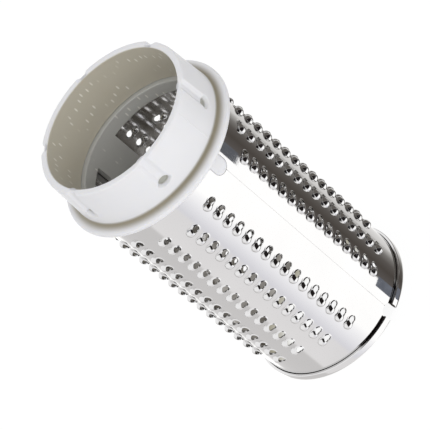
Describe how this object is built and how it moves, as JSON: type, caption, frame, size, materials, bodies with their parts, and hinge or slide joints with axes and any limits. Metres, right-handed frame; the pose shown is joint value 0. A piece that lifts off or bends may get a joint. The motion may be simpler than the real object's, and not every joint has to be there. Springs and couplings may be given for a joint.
{
  "type": "rotary cheese grater drum",
  "caption": "Grating drum of a rotary cheese grater: a rolled steel sheet punched with raised scoop teeth, hemmed at one rim, with a grooved and flanged plastic collar on the other.",
  "frame": {"origin": "centre of the hemmed rim's end face, on the drum's axis", "axes": "+Z along the drum's axis from the hemmed rim to the collar's mouth; the seam and the drive notch are at -Y"},
  "size_m": [0.0692, 0.0692, 0.1268],
  "materials": {
    "steel_sheet": "polished",
    "collar_plastic": "satin",
    "ring_plastic": "satin"
  },
  "bodies": {
    "root": {"grating_drum": "steel_sheet", "drive_collar": "collar_plastic", "retaining_ring": "ring_plastic"}
  },
  "joints": []
}
